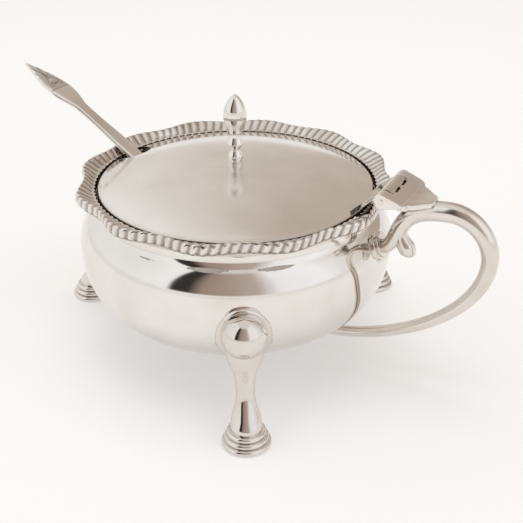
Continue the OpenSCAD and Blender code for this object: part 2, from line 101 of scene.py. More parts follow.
class Shell:
    """Collects vertices and faces of one piece."""

    SLAB_STEPS = 4

    def __init__(self):
        self.v = []
        self.f = []

    def grid(self, rows, close_rows=False):
        """Joins rows of points by quads; each row is a closed ring."""
        base = len(self.v)
        n, m = len(rows), len(rows[0])
        for row in rows:
            self.v.extend(row)
        for i in range(n if close_rows else n - 1):
            here, there = base + i * m, base + (i + 1) % n * m
            for j in range(m):
                k = (j + 1) % m
                self.f.append((here + j, here + k, there + k, there + j))
        return base

    def cap(self, start, count, point=None):
        """Closes a ring by triangles to a point, or else to the ring's middle."""
        if point is None:
            ring = self.v[start:start + count]
            point = tuple(sum(p[i] for p in ring) / count for i in range(3))
        self.v.append(point)
        last = len(self.v) - 1
        for k in range(count):
            self.f.append((start + k, start + (k + 1) % count, last))

    def tube(self, rings):
        """Joins rings and closes both ends."""
        m = len(rings[0])
        base = self.grid(rings)
        self.cap(base, m)
        self.cap(base + (len(rings) - 1) * m, m)

    def lathe(self, profile, n, place=lambda p: p):
        """Turns (radius, height) points about Z; the profile starts and ends on the axis."""
        rows = []
        for r, z in profile:
            rows.append([place((r * cos(2 * pi * k / n), r * sin(2 * pi * k / n), z))
                         for k in range(n)])
        base = self.grid(rows[1:-1])
        self.cap(base, n, rows[0][0])
        self.cap(base + (len(rows) - 3) * n, n, rows[-1][0])

    def slab(self, outline, y0, y1, soft, between=()):
        """Extrudes an XZ outline along Y, with rounded ends and other outlines between them."""
        n = len(outline)
        area = sum(ax * bz - bx * az
                   for (ax, az), (bx, bz) in zip(outline, outline[1:] + outline[:1]))
        way = 1 if area > 0 else -1
        inward = []
        for i in range(n):
            (ax, az), (bx, bz), (cx, cz) = outline[i - 1], outline[i], outline[(i + 1) % n]
            d0, d1 = hypot(bx - ax, bz - az), hypot(cx - bx, cz - bz)
            nx = -((bz - az) / d0 + (cz - bz) / d1) * way
            nz = ((bx - ax) / d0 + (cx - bx) / d1) * way
            k = 2 / max(0.5, nx * nx + nz * nz)
            inward.append((nx * k, nz * k))
        ends = []
        for y, sign in ((y0, 1), (y1, -1)):
            end = []
            for j in range(self.SLAB_STEPS + 1):
                a = pi / 2 * j / self.SLAB_STEPS
                d = soft * (1 - sin(a))
                end.append([(x + ix * d, y + sign * soft * (1 - cos(a)), z + iz * d)
                            for (x, z), (ix, iz) in zip(outline, inward)])
            ends.append(end)
        middle = [[(x, y, z) for x, z in shape] for y, shape in between]
        self.tube(ends[0] + middle + ends[1][::-1])


def unit(*values):
    """Smallest of the values, kept between 0 and 1."""
    return max(0.0, min(1.0, *values))


def rounded(corners, steps):
    """Outline with each corner (x, z, radius) rounded."""
    out = []
    n = len(corners)
    for i in range(n):
        (ax, az, _), (bx, bz, r), (cx, cz, _) = corners[i - 1], corners[i], corners[(i + 1) % n]
        if r <= 0:
            out.append((bx, bz))
            continue
        u, v = (ax - bx, az - bz), (cx - bx, cz - bz)
        lu, lv = hypot(*u), hypot(*v)
        r = min(r, 0.45 * lu, 0.45 * lv)
        px, pz = bx + u[0] / lu * r, bz + u[1] / lu * r
        qx, qz = bx + v[0] / lv * r, bz + v[1] / lv * r
        for k in range(steps + 1):
            t = k / steps
            w0, w1, w2 = (1 - t) ** 2, 2 * t * (1 - t), t * t
            out.append((w0 * px + w1 * bx + w2 * qx, w0 * pz + w1 * bz + w2 * qz))
    return out


def arc(c, r, a0, a1, steps):
    """Points of an arc about c, from one angle to another."""
    turns = [radians(a0 + (a1 - a0) * i / steps) for i in range(steps + 1)]
    return [(c[0] + r * cos(a), c[1] + r * sin(a)) for a in turns]


def squared(r, wide, low, steps):
    """Lower curve of the bowl, from its lowest point out to its widest level."""
    out = []
    for i in range(steps + 1):
        a = pi / 2 * i / steps
        out.append((r * sin(a) ** (2 / FULL), wide - (wide - low) * cos(a) ** (2 / FULL)))
    return out


def bowl_r(z):
    """Radius of the bowl's outer face at a height."""
    if z <= BOTTOM_Z:
        return 0.0
    if z <= BELLY_Z:
        return BELLY_R * (1 - ((BELLY_Z - z) / (BELLY_Z - BOTTOM_Z)) ** FULL) ** (1 / FULL)
    turn = SHOULDER_C[1] + SHOULDER_R * sin(radians(SHOULDER_A))
    if z <= turn:
        return SHOULDER_C[0] + sqrt(SHOULDER_R ** 2 - (z - SHOULDER_C[1]) ** 2)
    return NECK_C[0] - sqrt(max(0.0, NECK_R ** 2 - (min(z, LIP_Z) - NECK_C[1]) ** 2))


def bowl_z(r):
    """Height of the bowl's underside at a distance from the axis."""
    return BELLY_Z - (BELLY_Z - BOTTOM_Z) * (1 - (r / BELLY_R) ** FULL) ** (1 / FULL)


def clamp_to_bowl(p):
    """Moves a point that lies deep inside the bowl out to just under its face."""
    depth = 0.25
    r = hypot(p[0], p[1])
    need = bowl_r(p[2]) - depth
    if TINY < r < need and p[2] < LIP_Z:
        return (p[0] * need / r, p[1] * need / r, p[2])
    return p


def spline(stations, t):
    """Smooth values between stations of the form (position, values...)."""
    k = 0
    while k < len(stations) - 2 and t > stations[k + 1][0]:
        k += 1
    p0, p1 = stations[max(k - 1, 0)], stations[k]
    p2, p3 = stations[k + 1], stations[min(k + 2, len(stations) - 1)]
    h = p2[0] - p1[0]
    u = unit((t - p1[0]) / h)
    out = []
    for i in range(1, len(p1)):
        m1 = (p2[i] - p0[i]) / (p2[0] - p0[0]) * h
        m2 = (p3[i] - p1[i]) / (p3[0] - p1[0]) * h
        out.append((2 * u ** 3 - 3 * u ** 2 + 1) * p1[i] + (u ** 3 - 2 * u ** 2 + u) * m1
                   + (-2 * u ** 3 + 3 * u ** 2) * p2[i] + (u ** 3 - u ** 2) * m2)
    return out


def cubic(p, t):
    """Point of a curve in the XZ plane with four control points."""
    w = ((1 - t) ** 3, 3 * t * (1 - t) ** 2, 3 * t * t * (1 - t), t ** 3)
    return tuple(sum(w[i] * p[i][k] for i in range(4)) for k in range(2))


def cubic_dir(p, t):
    """Direction of that curve."""
    w = ((1 - t) ** 2, 2 * t * (1 - t), t * t)
    d = [sum(w[i] * (p[i + 1][k] - p[i][k]) for i in range(3)) for k in range(2)]
    n = hypot(*d)
    return d[0] / n, d[1] / n


def ring_xz(c, d, dia, sides):
    """Round section of a tube that runs through c in the direction d of the XZ plane."""
    out = []
    for k in range(sides):
        a = 2 * pi * k / sides
        out.append((c[0] - d[1] * dia / 2 * cos(a), dia / 2 * sin(a),
                    c[1] + d[0] * dia / 2 * cos(a)))
    return out


# Node helpers, for the materials and the world

def feed(nt, socket, value):
    """Links an output to a socket, or sets a plain value on it."""
    if isinstance(value, bpy.types.NodeSocket):
        nt.links.new(value, socket)
    else:
        socket.default_value = value


def noise(nt, vector, scale, detail):
    node = nt.nodes.new("ShaderNodeTexNoise")
    node.inputs["Scale"].default_value = scale
    node.inputs["Detail"].default_value = detail
    nt.links.new(vector, node.inputs["Vector"])
    return node.outputs["Fac"]


def remap(nt, value, source, target=(0.0, 1.0), smooth=False):
    """Maps one range of values to another."""
    node = nt.nodes.new("ShaderNodeMapRange")
    if smooth:
        node.interpolation_type = "SMOOTHSTEP"
    node.inputs["From Min"].default_value, node.inputs["From Max"].default_value = source
    node.inputs["To Min"].default_value, node.inputs["To Max"].default_value = target
    nt.links.new(value, node.inputs["Value"])
    return node.outputs["Result"]


def ramp(nt, share, stops):
    """Colour bar with stops of the form (position, colour)."""
    node = nt.nodes.new("ShaderNodeValToRGB")
    bar = node.color_ramp.elements
    for i, (position, colour) in enumerate(stops):
        if 0 < i < len(stops) - 1:
            stop = bar.new(position)
        else:
            stop = bar[0 if i == 0 else len(bar) - 1]
        stop.position = position
        stop.color = (*colour, 1)
    nt.links.new(share, node.inputs["Fac"])
    return node.outputs["Color"]


def mix(nt, share, a, b):
    """Mixes two colours by a share."""
    node = nt.nodes.new("ShaderNodeMix")
    node.data_type = "RGBA"
    nt.links.new(share, node.inputs["Factor"])
    feed(nt, node.inputs["A"], a)
    feed(nt, node.inputs["B"], b)
    return node.outputs["Result"]


def calculate(nt, kind, operation, *values):
    node = nt.nodes.new(kind)
    node.operation = operation
    for socket, value in zip(node.inputs, values):
        feed(nt, socket, value)
    return node.outputs


# Materials

# Dark brown that the mask mixes in: painted shade in gaps, slits, under edges and in the spoon's
# relief, and tarnish with painted shade in the border's furrows; it also roughens the plate
TARNISH_SHADE, TARNISH_SHADE_ROUGH = (0.14, 0.105, 0.085, 1), 0.25
# Metres from the lid's axis between which its wear fades, and what the wear adds to the roughness
WEAR_R, WEAR_ROUGH = (0.008, 0.024), 0.12
CLOUD_SCALE, WAVE_SCALE, WAVE_D = 90.0, 45.0, 0.001


def new_material(name):
    m = bpy.data.materials.new(name)
    m.use_nodes = True
    nt = m.node_tree
    return m, nt, nt.nodes["Principled BSDF"]


def silver(name, deep, light, gloss, ripple=0.02, tarnish_shade=False, worn=False):
    """Plate with clouded tone and gloss; the mask darkens it with painted shade, and with tarnish
    in the border's furrows, and wear dulls the middle.
    """
    m, nt, b = new_material(name)
    b.inputs["Metallic"].default_value = 1.0
    place = nt.nodes.new("ShaderNodeTexCoord").outputs["Object"]
    cloud = noise(nt, place, CLOUD_SCALE, 4.0)
    roughness = remap(nt, cloud, (0.3, 0.7), gloss)
    colour = ramp(nt, cloud, ((0.25, deep), (0.75, light)))
    if tarnish_shade:
        # Painted shade from the mask, with tarnish in the border's furrows, darkens and roughens
        # the plate
        attr = nt.nodes.new("ShaderNodeAttribute")
        attr.attribute_name = "tarnish_shade_mask"
        tarnish_shade_share = attr.outputs["Fac"]
        colour = mix(nt, tarnish_shade_share, colour, TARNISH_SHADE)
        roughness = calculate(nt, "ShaderNodeMath", "MULTIPLY_ADD",
                              tarnish_shade_share, TARNISH_SHADE_ROUGH, roughness)["Value"]
    if worn:
        flat = calculate(nt, "ShaderNodeVectorMath", "MULTIPLY", place, (1, 1, 0))["Vector"]
        away = calculate(nt, "ShaderNodeVectorMath", "LENGTH", flat)["Value"]
        wear = remap(nt, away, WEAR_R, (WEAR_ROUGH, 0.0), smooth=True)
        roughness = calculate(nt, "ShaderNodeMath", "ADD", wear, roughness)["Value"]
    nt.links.new(colour, b.inputs["Base Color"])
    nt.links.new(roughness, b.inputs["Roughness"])
    bump = nt.nodes.new("ShaderNodeBump")
    bump.inputs["Strength"].default_value = ripple
    bump.inputs["Distance"].default_value = WAVE_D
    nt.links.new(noise(nt, place, WAVE_SCALE, 1.0), bump.inputs["Height"])
    nt.links.new(bump.outputs["Normal"], b.inputs["Normal"])
    return m


def cobalt(name):
    m, nt, b = new_material(name)
    place = nt.nodes.new("ShaderNodeTexCoord").outputs["Object"]
    colour = ramp(nt, noise(nt, place, 60.0, 2.0),
                  ((0.0, (0.012, 0.03, 0.30)), (1.0, (0.02, 0.06, 0.42))))
    nt.links.new(colour, b.inputs["Base Color"])
    b.inputs["Roughness"].default_value = 0.04
    b.inputs["IOR"].default_value = 1.5
    b.inputs["Transmission Weight"].default_value = 0.85
    return m


CAST_GLOSS = (0.10, 0.19)
SILVER = silver("silver_plate", (0.76, 0.725, 0.69), (0.86, 0.84, 0.815), (0.035, 0.085))
SILVER_CAST = silver("silver_plate_cast", (0.70, 0.645, 0.59), (0.82, 0.785, 0.745), CAST_GLOSS)
# The spoon and hinge plate, the border's plate and the lid's plate take painted shade from the
# mask; the border's also takes tarnish in its furrows
SILVER_SPOON = silver("silver_plate_spoon", (0.76, 0.71, 0.665), (0.88, 0.85, 0.82), CAST_GLOSS,
                      tarnish_shade=True)
SILVER_LEG = silver("silver_plate_leg", (0.68, 0.64, 0.60), (0.80, 0.77, 0.74), (0.05, 0.10))
SILVER_AGED_SHADED = silver("silver_plate_aged_shaded", (0.70, 0.65, 0.60), (0.86, 0.835, 0.805), (0.06, 0.13),
                     tarnish_shade=True)
SILVER_LID = silver("silver_plate_lid", (0.83, 0.795, 0.755), (0.93, 0.915, 0.89), (0.09, 0.14),
                    ripple=0.012, tarnish_shade=True, worn=True)
GLASS = cobalt("cobalt_glass")


# Bowl
def bowl_shell():
    outer = squared(BELLY_R, BELLY_Z, BOTTOM_Z, 72)
    outer += arc(SHOULDER_C, SHOULDER_R, 0, SHOULDER_A, 24)[1:]
    outer += arc(NECK_C, NECK_R, 180 + SHOULDER_A, 180 - NECK_END, 28)[1:]
    inner_end = 180 - degrees(asin((LIP_Z - NECK_C[1]) / (NECK_R + WALL)))
    inner = squared(BELLY_R - WALL, BELLY_Z, BOTTOM_Z + WALL, 48)
    inner += arc(SHOULDER_C, SHOULDER_R - WALL, 0, SHOULDER_A, 16)[1:]
    inner += arc(NECK_C, NECK_R + WALL, 180 + SHOULDER_A, inner_end, 20)[1:]
    shell = Shell()
    shell.lathe(outer + inner[::-1], 256)
    return shell


s = bowl_shell()
make("bowl_body", s.v, s.f, "pot", SILVER, ["bowl"], sharp=38)

# Gadroon border. Its section runs from the inner edge at 180 over the crest to the lower outer
# edge at -30. The furrows are finer than the CAD model's, and the undercut of that edge is added.
SEC_IN, SEC_OUT = 180, -30
SECTION = (180, 179.4, 178.5, 177, 174, 169, 163, 155, 147, 139, 131, 123, 115, 107, 99, 91, 83,
           75, 66, 57, 48, 39, 30, 20, 10, 0, -10, -20, -30)
# Places across one gadroon, from one furrow to the next
ACROSS = (-1.0, -0.86, -0.72, -0.54, -0.32, -0.1, 0.1, 0.32, 0.54, 0.72, 0.86)
# Depth of the furrows by the place on the section
FURROWS = [(-30, 0.5), (20, 0.5), (45, 0.26), (65, 0.13), (85, 0.15), (110, 0.28), (140, 0.4),
           (180, 0.4)]
UNDERCUT, FURROW_FOOT = 0.15, 0.3
# Shares of the dark mix: tarnish with painted shade in the furrows, painted shade under the
# undercut outer edge, and painted shade at the inner foot beside the lid's gap
FURROW_TARNISH_SHADE, EDGE_SHADE, FOOT_SHADE = 0.65, 0.45, 0.35


def lobe_r(a):
    """Outer radius of the border's waves in a direction."""
    return BORDER_OUT - LOBE_D * (1 + cos(radians(LOBES * a))) / 2


def lean(sec):
    """Angle by which the gadroons slant at a place on the section."""
    return SLANT * (sec - (SEC_IN + SEC_OUT) / 2) / (SEC_IN - SEC_OUT)


def border_point(w, sec, cut=0.0):
    """Place on the section, out from the border's inner edge and up from the lip."""
    x = (w - cut * abs(cos(radians(sec)))) * ((1 + cos(radians(sec))) / 2) ** CREST
    z = max(0.0, BORDER_H / 3 + (BORDER_H * 2 / 3 - cut) * sin(radians(sec)))
    return x, z


def border_rows():
    rows, tarnish_shade_mask = [], []
    for i in range(GADROONS):
        for u in ACROSS:
            a = 360 * (i + (u + 1) / 2) / GADROONS
            dip = 0.5 - 0.5 * cos(pi * u)
            # Tarnish with painted shade in the furrow; painted shade at the inner foot and under
            # the outer edge
            dark = FURROW_TARNISH_SHADE * max(0.0, (dip - 0.4) / 0.6)
            foot = radians(a + lean(SEC_IN))
            row = [(BORDER_IN * cos(foot), BORDER_IN * sin(foot), LIP_Z)]
            tarnish_shade_mask.append(FOOT_SHADE)
            for sec in SECTION:
                turned = a + lean(sec)
                end = unit((SEC_IN - sec) / 6, (sec - SEC_OUT) / 14)
                cut = dip * end * spline(FURROWS, sec)[0]
                x, z = border_point(lobe_r(turned) - BORDER_IN, sec, cut)
                x *= 1 - UNDERCUT * max(0.0, sec / SEC_OUT)
                r = BORDER_IN + x + FURROW_FOOT * dip * max(0.0, (sec - 150) / 30)
                row.append((r * cos(radians(turned)), r * sin(radians(turned)), LIP_Z + z))
                tarnish_shade_mask.append(min(1.0, dark * end + (EDGE_SHADE if sec < SEC_OUT / 2 else 0.0)))
            rows.append(row)
    return rows, tarnish_shade_mask


rows, tarnish_shade_mask = border_rows()
s = Shell()
s.grid(rows, close_rows=True)
make("border_gadroons", s.v, s.f, "pot", SILVER_AGED_SHADED, ["gadroon_border"], sharp=60,
     tarnish_shade_mask=tarnish_shade_mask)

# Lid. The spoon's notch is a little larger than in the CAD model.
NOTCH_R, NOTCH_D, NOTCH_STEPS = 4.7, 5.4, 24
NOTCH_C = LID_R - NOTCH_D + NOTCH_R
RIM_STEPS, CORNER = 240, 0.02
HOLE_R, TOP_SOFT, LOW_SOFT = 1.15, 0.45, 0.25
# Painted shade along the section of the lid, a dark line round its edge and shade under it: top,
# upper edge, lower edge, underside
LID_SHADE = [0.0] * 41 + [0.1, 0.3, 0.6, 0.85, 1.0, 1.0] + [1.0] * 5 + [0.6] * 12


def lid_rim(a):
    """Greatest radius of the lid in a direction."""
    d = (a - NOTCH_A + 180) % 360 - 180
    if abs(sin(radians(d))) * NOTCH_C < NOTCH_R and abs(d) < 60:
        side = NOTCH_C * sin(radians(d))
        return NOTCH_C * cos(radians(d)) - sqrt(max(0.0, NOTCH_R ** 2 - side ** 2))
    return LID_R


def dome(r, inset=0.0):
    """Height of the lid's upper face at a radius, or of a face inset from it."""
    return DOME_C + sqrt((DOME_R - inset) ** 2 - r * r)


def lid_section(rim):
    """Points (radius, height) from the hole over the top and round the edge to the hole again."""
    out = []
    for k in range(41):
        r = HOLE_R + (rim - TOP_SOFT - HOLE_R) * k / 40
        out.append((r, dome(r)))
    for k in range(1, 7):
        a = radians(15 * k)
        out.append((rim - TOP_SOFT + TOP_SOFT * sin(a),
                    dome(rim - TOP_SOFT) - TOP_SOFT * (1 - cos(a))))
    low = dome(rim, LID_T)
    for k in range(5):
        a = radians(22.5 * k)
        out.append((rim - LOW_SOFT + LOW_SOFT * cos(a), low + LOW_SOFT - LOW_SOFT * sin(a)))
    for k in range(1, 13):
        r = rim - LOW_SOFT + (HOLE_R - rim + LOW_SOFT) * k / 12
        out.append((r, dome(r, LID_T)))
    return out


def lid_angles():
    """Directions round the lid, closer together in the notch and just off its two corners."""
    half = degrees(asin(NOTCH_R / NOTCH_C))
    out = [NOTCH_A + half * sin(radians(90 * k / NOTCH_STEPS)) * 0.99999
           for k in range(-NOTCH_STEPS, NOTCH_STEPS + 1)]
    span = 360 - 2 * half
    out += [NOTCH_A + half + CORNER + (span - 2 * CORNER) * k / RIM_STEPS
            for k in range(RIM_STEPS + 1)]
    return out


rows = []
for a in lid_angles():
    ca, sa = cos(radians(a)), sin(radians(a))
    rows.append([(r * ca, r * sa, z) for r, z in lid_section(lid_rim(a))])
s = Shell()
s.grid(rows, close_rows=True)
make("lid_dome", s.v, s.f, "lid", SILVER_LID, ["lid"], sharp=50,
     tarnish_shade_mask=LID_SHADE * len(rows))

# Finial. WIDE is the share of its height at which the bud is widest, and BUD_ROUND the exponent
# of the curve from there to the tip.
FINIAL_H, BUD, FOOT_R, STUD, NUT_H, WIDE = 15.4, 2.6, 1.7, 1.1, 1.6, 0.69
BUD_ROUND = 0.78
# Radius by the share of the height, up to the bud's widest place
TURNED = [(0.0, 0.84 * FOOT_R), (0.03, 0.95 * FOOT_R), (0.06, FOOT_R), (0.095, 0.94 * FOOT_R),
          (0.14, 0.73 * FOOT_R), (0.19, 0.64 * FOOT_R), (0.235, 0.6 * BUD), (0.265, 0.75 * BUD),
          (0.3, 0.69 * BUD), (0.36, 0.55 * BUD), (0.42, 0.5 * BUD), (0.47, 0.54 * BUD),
          (0.51, 0.64 * BUD), (0.55, 0.77 * BUD), (0.595, 0.9 * BUD), (0.645, 0.98 * BUD),
          (WIDE, BUD)]


def finial_shell():
    stud_end = -LID_T - NUT_H - STUD
    profile = [(0, stud_end), (STUD, stud_end), (STUD, 0)]
    profile += [(spline(TURNED, WIDE * k / 100)[0], WIDE * FINIAL_H * k / 100)
                for k in range(101)]
    profile += [(BUD * (1 - (k / 32) ** 2) ** BUD_ROUND,
                 FINIAL_H * (WIDE + (1 - WIDE) * k / 32)) for k in range(1, 32)]
    profile += [(0, FINIAL_H)]
    shell = Shell()
    shell.lathe([(r, LID_TOP + z) for r, z in profile], 96)
    return shell


s = finial_shell()
make("finial_bud", s.v, s.f, "lid", SILVER, ["finial"], sharp=45)

# Slope of the hinge plate and level of the thumb rest, which the handle carries
PLATE_A, PLATE_RUN, REST_L = radians(22), 4.7, 5.1
PLATE_TOP = (HINGE[0] + KNUCKLE * sin(PLATE_A), HINGE[1] + KNUCKLE * cos(PLATE_A))
PLATE_END_X = HINGE[0] + PLATE_RUN
PLATE_END_Z = PLATE_TOP[1] - (PLATE_END_X - PLATE_TOP[0]) * sin(PLATE_A) / cos(PLATE_A)
REST_Z = PLATE_END_Z - LEAF_T

# Handle: a scroll of three curves, a spur and a collar at the root. Its elbow below the crown is
# tighter and its spur fuller than in the CAD model.
CROWN_D, ROOT_D, SIDE_D, TAIL_D, SPUR_D = 4.4, 2.8, 3.6, 2.4, 3.2
COLLAR_R, COLLAR_T, COLLAR_A = 3.4, 1.3, SHOULDER_A / 2
COLLAR_AT = (SHOULDER_C[0] + SHOULDER_R * cos(radians(COLLAR_A)),
             SHOULDER_C[1] + SHOULDER_R * sin(radians(COLLAR_A)))
ROOT_IN, TAIL_R = 1.6, 17.5
CROWN = (48.4, REST_Z - 0.43 * CROWN_D)
REACH = (58.95, 33.6)
RISE = CROWN[1] - REACH[1]
ROOT = (COLLAR_AT[0] - ROOT_IN, COLLAR_AT[1] - ROOT_IN / 6)
TAIL = (TAIL_R, bowl_z(TAIL_R) - 0.05 * TAIL_D)
SCROLL = [
    [ROOT, (BORDER_OUT + 5.3, ROOT[1] - 0.6), (BORDER_OUT - 0.7, CROWN[1] - 0.8), CROWN],
    [CROWN, (CROWN[0] + 0.55 * (REACH[0] - CROWN[0]), CROWN[1] + 0.1 * RISE),
     (REACH[0], REACH[1] + 0.58 * RISE), REACH],
    [REACH, (REACH[0], REACH[1] - 0.52 * (REACH[1] - TAIL[1])),
     (TAIL[0] + 0.5 * (REACH[0] - TAIL[0]), TAIL[1] - 0.8), TAIL]]
# Thickness along the three curves
WIDTHS = [(0, ROOT_D), (0.3, 1.2 * ROOT_D), (0.6, 1.36 * ROOT_D), (1, CROWN_D), (2, SIDE_D),
          (2.6, 1.12 * TAIL_D), (3, TAIL_D)]
SPUR_AT = (BORDER_OUT + 3.7, CROWN[1] - 4.3)
SPUR = [SPUR_AT, (SPUR_AT[0] - 0.9, SPUR_AT[1] - 2.6), (SPUR_AT[0], SPUR_AT[1] - 5.2),
        (SPUR_AT[0] + 3.0, SPUR_AT[1] - 7.3)]
SWELL = [(0, 0.95), (0.18, 0.78), (0.36, 0.86), (0.55, 1.04), (0.75, 1.2), (0.9, 1.22),
         (1.0, 1.18)]
# DROP is the share of the spur's length at which its round end starts
CURVE_STEPS, SPUR_STEPS, DROP = 48, 44, 0.72
SEAT_FROM, SEAT_RAMP = 38, 0.5


def seat(p):
    """Flattens the crown under the thumb rest and lets it rise again behind the rest."""
    if SEAT_FROM < p[0] < PLATE_END_X + REST_L + SEAT_RAMP:
        u = max(0.0, (p[0] - PLATE_END_X - REST_L) / SEAT_RAMP)
        top = REST_Z - 0.01 + u * u * (3 - 2 * u)
        if p[2] > top:
            return (p[0], p[1], top)
    return p


def collar_place(p):
    a = radians(90 - COLLAR_A)
    return clamp_to_bowl((COLLAR_AT[0] + p[0] * cos(a) + p[2] * sin(a), p[1],
                          COLLAR_AT[1] - p[0] * sin(a) + p[2] * cos(a)))


def handle_shell():
    shell = Shell()
    rings = []
    for c, curve in enumerate(SCROLL):
        for i in range(0 if c == 0 else 1, CURVE_STEPS + 1):
            t = i / CURVE_STEPS
            rings.append(ring_xz(cubic(curve, t), cubic_dir(curve, t),
                                 spline(WIDTHS, c + t)[0], 40))
    shell.tube(rings)
    rings = []
    for i in range(SPUR_STEPS + 1):
        t = 1 - (1 - i / SPUR_STEPS) ** 1.35
        size = SPUR_D * spline(SWELL, t)[0]
        if t > DROP:
            size *= sqrt(max(0.004, 1 - ((t - DROP) / (1 - DROP)) ** 2))
        rings.append(ring_xz(cubic(SPUR, t), cubic_dir(SPUR, t), size, 32))
    shell.tube(rings)
    shell.v = [seat(p) for p in shell.v]
    r, t = COLLAR_R, COLLAR_T
    disc = [(0, -t), (r, -t), (r, 0.1 * t)] + arc((0.94 * r, 0.25 * t), 0.06 * r, -20, 90, 5)
    disc += [(0.82 * r, 0.5 * t), (0.79 * r, 0.56 * t)]
    disc += arc((0.8 * r, 0.76 * t), 0.06 * r, -60, 90, 6) + [(0.6 * r, 0.98 * t), (0, t)]
    shell.lathe(disc, 72, collar_place)
    return shell


s = handle_shell()
make("handle_scroll", s.v, s.f, "pot", SILVER_CAST, ["handle"], sharp=45)

# Fixed hinge plate with its two knuckles and the fan-shaped thumb rest
SLOPE_X, SLOPE_Z = cos(PLATE_A), -sin(PLATE_A)
SLOPE_L = (PLATE_END_X - PLATE_TOP[0]) / SLOPE_X
KNUCKLE_SOFT, KNUCKLE_SIDES, BORE = 0.22, 56, PIN_R + 0.01
# Distance from the pin's axis to the seam behind the middle knuckle, and to the floor of its slits
SEAM, DASH = 2.03, 2.24
SLITS = ((-3.3, SEAM), (-3.25, DASH), (-0.7, DASH), (-0.65, SEAM), (0.65, SEAM), (0.7, DASH),
         (3.25, DASH), (3.3, SEAM))
# Half width of the thumb rest by the distance from the plate's end
FAN = [(-1.2, 7.2), (-0.4, 7.2), (0.1, 7.0), (0.45, 6.35), (0.62, 5.7), (0.95, 5.35), (1.5, 5.0),
       (2.2, 4.35), (2.9, 3.6), (3.5, 3.0), (4.1, 2.55), (4.6, 2.0), (4.95, 1.2), (5.1, 0.35)]
FAN_FROM, FAN_L, FAN_T, FAN_STEPS, FAN_ACROSS = -1.2, 6.3, 1.15, 52, 26
FLUTE_D, FLUTES, FAN_SOFT, FAN_SINK = 0.16, 1.5, 0.3, 0.4


def on_slope(d, depth=0.0):
    """Point at a distance down the plate's slope from the knuckle's top, and at a depth."""
    return (PLATE_TOP[0] + d * SLOPE_X + depth * SLOPE_Z,
            PLATE_TOP[1] + d * SLOPE_Z - depth * SLOPE_X)


def wedge(slot):
    """Outline of the plate behind the middle knuckle, at a distance from the pin's axis."""
    along_slope = sqrt(slot ** 2 - KNUCKLE ** 2)
    start = on_slope(along_slope)
    high, low = degrees(atan2(start[1] - HINGE[1], start[0] - HINGE[0])), -32.0
    corners = [p + (0.0,) for p in arc(HINGE, slot, high, low, 10)]
    corners += [(PLATE_END_X - 0.1, PLATE_END_Z - LEAF_T, 0.1),
                on_slope(SLOPE_L - 0.1) + (0.25,), on_slope(along_slope + 0.15) + (0,)]
    return rounded(corners, 3)


def fan_ring(x):
    """Section of the thumb rest: fluted top, round edges and flat underside."""
    half = spline(FAN, x)[0]
    soft = min(FAN_SOFT, half * 0.6)
    ring = []
    for j in range(FAN_ACROSS + 1):
        y = -half + soft + 2 * (half - soft) * j / FAN_ACROSS
        wave = FLUTE_D * (1 - cos(2 * pi * y / max(half, 0.6) * FLUTES)) / 2
        ring.append((y, 0.06 * unit(x) - wave * unit(x / 1.2) * unit(half / 2)))
    edge = [(soft * sin(radians(a)), FAN_T / 2 * (cos(radians(a)) - 1))
            for a in (30, 60, 90, 120, 150)]
    ring += [(half - soft + out, z) for out, z in edge]
    ring += [(half - soft - 2 * (half - soft) * j / 6, -FAN_T) for j in range(7)]
    ring += [(-half + soft - out, z) for out, z in edge[::-1]]
    sink = FAN_SINK * (1 - exp(-max(0.0, x)))
    return [(PLATE_END_X + x, y, PLATE_END_Z + z - sink) for y, z in ring]


def hinge_shell():
    shell = Shell()
    soft, n = KNUCKLE_SOFT, KNUCKLE_SIDES
    for side in (-1, 1):
        y0, y1 = sorted((side * (MID_K / 2 + KNUCKLE_GAP), side * HINGE_W / 2))
        profile = [(BORE, y0), (KNUCKLE - soft, y0)]
        profile += arc((KNUCKLE - soft, y0 + soft), soft, -75, 0, 5)
        profile += arc((KNUCKLE - soft, y1 - soft), soft, 0, 75, 5)
        profile += [(KNUCKLE - soft, y1), (BORE, y1)]
        shell.grid([[(HINGE[0] + r * cos(2 * pi * k / n), y, HINGE[1] + r * sin(2 * pi * k / n))
                     for k in range(n)] for r, y in profile], close_rows=True)
        cheek = [(HINGE[0] + 0.75, HINGE[1] - 1.0), on_slope(0.05, 0.03), on_slope(1.6, 0.03),
                 (HINGE[0] + 2.6, HINGE[1] - 1.05)]
        shell.slab(cheek, y0, y1, 0.16)
        # Flat end that closes the knuckle and runs out along the plate
        closing = arc(HINGE, KNUCKLE + 0.02, 68, 262, 20)
        closing += [(PLATE_END_X - 0.9, PLATE_END_Z - LEAF_T), on_slope(SLOPE_L - 0.9, -0.02)]
        near, far = sorted((side * (HINGE_W / 2 - 0.5), side * (HINGE_W / 2 + 0.06)))
        shell.slab(closing, near, far, 0.14)
    shell.slab(wedge(SEAM), -HINGE_W / 2, HINGE_W / 2, 0.2,
               between=[(y, wedge(d)) for y, d in SLITS])
    shell.tube([fan_ring(FAN_FROM + FAN_L * (1 - (1 - k / FAN_STEPS) ** 1.4))
                for k in range(FAN_STEPS + 1)])
    return shell


# Painted shade on the floor of the slits beside the middle knuckle
def slit_shade(p):
    on_floor = abs(hypot(p[0] - HINGE[0], p[2] - HINGE[1]) - DASH) < 0.02
    return 1.0 if on_floor and 0.6 < abs(p[1]) < 3.3 else 0.0


s = hinge_shell()
make("hinge_thumb_rest", s.v, s.f, "pot", SILVER_SPOON, ["hinge_plate"], sharp=40,
     tarnish_shade_mask=[slit_shade(p) for p in s.v])

